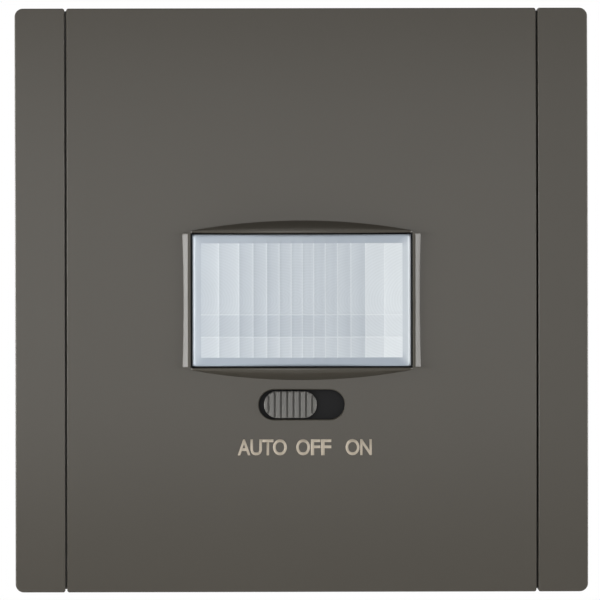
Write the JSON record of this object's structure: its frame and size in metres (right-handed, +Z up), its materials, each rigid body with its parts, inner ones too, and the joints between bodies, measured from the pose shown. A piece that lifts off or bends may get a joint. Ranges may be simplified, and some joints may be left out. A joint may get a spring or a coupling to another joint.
{
  "type": "motion sensor light switch",
  "caption": "Flush wall motion sensor switch: crowned square plate, side bars, milky curved sensor lens, ribbed mode slider, relay insert with claws and screw terminals.",
  "frame": {"origin": "middle of the device on the wall face, halfway between the two level device screw slots", "axes": "+X right and +Z up, seen from the front; +Y goes into the wall, and the face looks along -Y"},
  "size_m": [0.0862, 0.0465, 0.0878],
  "materials": {
    "face_lacquer": "matt bronze-grey lacquer on a moulding",
    "milky_lens": "milky translucent",
    "slider_lacquer": "matt bronze-grey lacquer",
    "black_plastic": "matt black",
    "dark_plastic": "matt dark grey",
    "tinned_steel": "tinned",
    "screw_steel": "zinc plated",
    "ring_steel": "zinc plated",
    "terminal_steel": "zinc plated",
    "circuit_board": "solder mask",
    "filter_glass": "dark infrared filter",
    "lamp_resin": "clear resin",
    "status_resin": "red resin",
    "chip_resin": "moulded resin",
    "capacitor_sleeve": "shrink sleeve",
    "dial_blue": "moulded blue",
    "dial_white": "moulded white",
    "contact_brass": "bright",
    "insert_plastic": "moulded light grey",
    "relay_blue": "moulded blue",
    "film_yellow": "cast yellow",
    "ferrite": "coated ferrite",
    "fuse_plastic": "moulded brown",
    "varistor_resin": "dipped blue"
  },
  "bodies": {
    "insert": {"design_frame": "face_lacquer", "socket_strip": "black_plastic", "socket_contacts": "contact_brass", "support_ring": "ring_steel", "ring_screws": "screw_steel", "insert_housing": "insert_plastic", "insert_lid": "insert_plastic", "lid_screws": "screw_steel", "power_board": "circuit_board", "power_board_screws": "screw_steel", "relay": "relay_blue", "film_capacitor": "film_yellow", "rectifier": "chip_resin", "bulk_capacitor": "capacitor_sleeve", "choke": "ferrite", "fuse": "fuse_plastic", "varistor": "varistor_resin", "terminal_tongues": "contact_brass"},
    "sensor_unit": {"front_cover": "face_lacquer", "lens": "milky_lens", "lens_holder": "black_plastic", "slide_switch_shell": "tinned_steel", "module_housing": "dark_plastic", "module_screws": "screw_steel", "sensor_board": "circuit_board", "board_screws": "screw_steel", "infrared_sensor_can": "tinned_steel", "infrared_filter": "filter_glass", "light_sensor": "lamp_resin", "status_light": "status_resin", "controller_chip": "chip_resin", "amplifier_chip": "chip_resin", "small_capacitor": "capacitor_sleeve", "resistors": "chip_resin", "dial_bodies": "dial_blue", "plug_strip": "black_plastic", "plug_pins": "contact_brass"},
    "mode_slider": {"slider_knob": "slider_lacquer", "slide_switch_lever": "black_plastic"},
    "time_dial": {"time_dial": "dial_white"},
    "brightness_dial": {"brightness_dial": "dial_white"},
    "range_dial": {"range_dial": "dial_white"},
    "terminal_screw_1": {"terminal_screw_1": "screw_steel"},
    "lift_cage_1": {"lift_cage_1": "terminal_steel"},
    "terminal_screw_2": {"terminal_screw_2": "screw_steel"},
    "lift_cage_2": {"lift_cage_2": "terminal_steel"},
    "terminal_screw_3": {"terminal_screw_3": "screw_steel"},
    "lift_cage_3": {"lift_cage_3": "terminal_steel"},
    "terminal_screw_4": {"terminal_screw_4": "screw_steel"},
    "lift_cage_4": {"lift_cage_4": "terminal_steel"},
    "claw_screw_left": {"claw_screw_left": "screw_steel"},
    "claw_nut_left": {"claw_nut_left": "screw_steel"},
    "claw_left": {"claw_left": "ring_steel"},
    "claw_screw_right": {"claw_screw_right": "screw_steel"},
    "claw_nut_right": {"claw_nut_right": "screw_steel"},
    "claw_right": {"claw_right": "ring_steel"}
  },
  "joints": [
    {"name": "sensor_unit_pull", "type": "slide", "parent": "insert", "child": "sensor_unit", "axis": [0, -1, 0], "range_m": [0, 0.03]},
    {"name": "mode_slide", "type": "slide", "parent": "sensor_unit", "child": "mode_slider", "axis": [1, 0, 0], "range_m": [0, 0.004]},
    {"name": "time_turn", "type": "hinge", "parent": "sensor_unit", "child": "time_dial", "pos_m": [-0.0095, 0.0015, -0.003], "axis": [0, 1, 0], "range_deg": [-135, 135]},
    {"name": "brightness_turn", "type": "hinge", "parent": "sensor_unit", "child": "brightness_dial", "pos_m": [0, 0.0015, -0.0095], "axis": [0, 1, 0], "range_deg": [-135, 135]},
    {"name": "range_turn", "type": "hinge", "parent": "sensor_unit", "child": "range_dial", "pos_m": [0.0095, 0.0015, -0.003], "axis": [0, 1, 0], "range_deg": [-135, 135]},
    {"name": "terminal_turn_1", "type": "hinge", "parent": "insert", "child": "terminal_screw_1", "pos_m": [-0.0105, 0.0255, -0.02], "axis": [0, 0, 1], "range_deg": [0, 1080]},
    {"name": "cage_lift_1", "type": "slide", "parent": "insert", "child": "lift_cage_1", "axis": [0, 0, -1], "range_m": [0, 0.0015]},
    {"name": "terminal_turn_2", "type": "hinge", "parent": "insert", "child": "terminal_screw_2", "pos_m": [-0.0035, 0.0255, -0.02], "axis": [0, 0, 1], "range_deg": [0, 1080]},
    {"name": "cage_lift_2", "type": "slide", "parent": "insert", "child": "lift_cage_2", "axis": [0, 0, -1], "range_m": [0, 0.0015]},
    {"name": "terminal_turn_3", "type": "hinge", "parent": "insert", "child": "terminal_screw_3", "pos_m": [0.0035, 0.0255, -0.02], "axis": [0, 0, 1], "range_deg": [0, 1080]},
    {"name": "cage_lift_3", "type": "slide", "parent": "insert", "child": "lift_cage_3", "axis": [0, 0, -1], "range_m": [0, 0.0015]},
    {"name": "terminal_turn_4", "type": "hinge", "parent": "insert", "child": "terminal_screw_4", "pos_m": [0.0105, 0.0255, -0.02], "axis": [0, 0, 1], "range_deg": [0, 1080]},
    {"name": "cage_lift_4", "type": "slide", "parent": "insert", "child": "lift_cage_4", "axis": [0, 0, -1], "range_m": [0, 0.0015]},
    {"name": "claw_screw_turn_left", "type": "hinge", "parent": "insert", "child": "claw_screw_left", "pos_m": [-0.0244, 0, -0.0055], "axis": [0, 1, 0], "range_deg": [0, 1800]},
    {"name": "claw_nut_travel_left", "type": "slide", "parent": "insert", "child": "claw_nut_left", "axis": [0, -1, 0], "range_m": [0, 0.0035]},
    {"name": "claw_swing_left", "type": "hinge", "parent": "claw_nut_left", "child": "claw_left", "pos_m": [-0.0244, 0.0163, -0.0055], "axis": [0, 0, -1], "range_deg": [0, 25]},
    {"name": "claw_screw_turn_right", "type": "hinge", "parent": "insert", "child": "claw_screw_right", "pos_m": [0.0244, 0, 0.0055], "axis": [0, 1, 0], "range_deg": [0, 1800]},
    {"name": "claw_nut_travel_right", "type": "slide", "parent": "insert", "child": "claw_nut_right", "axis": [0, -1, 0], "range_m": [0, 0.0035]},
    {"name": "claw_swing_right", "type": "hinge", "parent": "claw_nut_right", "child": "claw_right", "pos_m": [0.0244, 0.0163, 0.0055], "axis": [0, 0, 1], "range_deg": [0, 25]}
  ],
  "couplings": [
    {"joint": "terminal_turn_1", "follows": "cage_lift_1", "rad_per_m": 12566},
    {"joint": "terminal_turn_2", "follows": "cage_lift_2", "rad_per_m": 12566},
    {"joint": "terminal_turn_3", "follows": "cage_lift_3", "rad_per_m": 12566},
    {"joint": "terminal_turn_4", "follows": "cage_lift_4", "rad_per_m": 12566},
    {"joint": "claw_screw_turn_left", "follows": "claw_nut_travel_left", "rad_per_m": 8976},
    {"joint": "claw_swing_left", "follows": "claw_nut_travel_left", "rad_per_m": 124.67},
    {"joint": "claw_screw_turn_right", "follows": "claw_nut_travel_right", "rad_per_m": 8976},
    {"joint": "claw_swing_right", "follows": "claw_nut_travel_right", "rad_per_m": 124.67}
  ]
}
